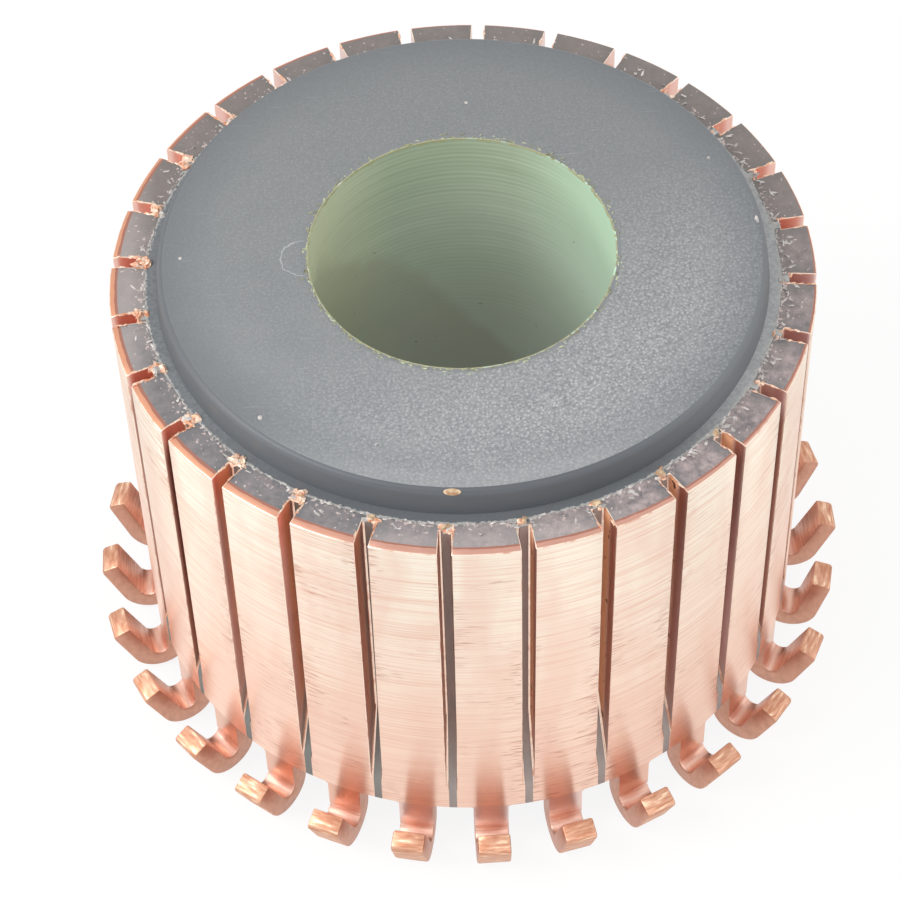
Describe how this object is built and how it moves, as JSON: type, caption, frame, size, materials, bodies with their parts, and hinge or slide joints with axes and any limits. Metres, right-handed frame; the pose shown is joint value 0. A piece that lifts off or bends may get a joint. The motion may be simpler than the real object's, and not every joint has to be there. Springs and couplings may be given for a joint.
{
  "type": "commutator",
  "caption": "Hook commutator: copper bars with bent wire hooks round a grey moulded hub, parted by saw cuts, with a sleeved through bore.",
  "frame": {"origin": "centre of the bore at the lower face of the collar, on which the part stands", "axes": "+Z along the bore axis from the hooked end to the raised boss; +X through the middle of bar_01"},
  "size_m": [0.0402, 0.0402, 0.0268],
  "materials": {
    "copper": "fine turned bare copper",
    "moulding": "matte filled phenolic moulding",
    "sleeve": "satin green glass-fibre laminate"
  },
  "bodies": {
    "root": {"bar_01": "copper", "bar_02": "copper", "bar_03": "copper", "bar_04": "copper", "bar_05": "copper", "bar_06": "copper", "bar_07": "copper", "bar_08": "copper", "bar_09": "copper", "bar_10": "copper", "bar_11": "copper", "bar_12": "copper", "bar_13": "copper", "bar_14": "copper", "bar_15": "copper", "bar_16": "copper", "bar_17": "copper", "bar_18": "copper", "bar_19": "copper", "bar_20": "copper", "bar_21": "copper", "bar_22": "copper", "bar_23": "copper", "bar_24": "copper", "bar_25": "copper", "bar_26": "copper", "bar_27": "copper", "bar_28": "copper", "hub": "moulding", "bore_sleeve": "sleeve"}
  },
  "joints": []
}
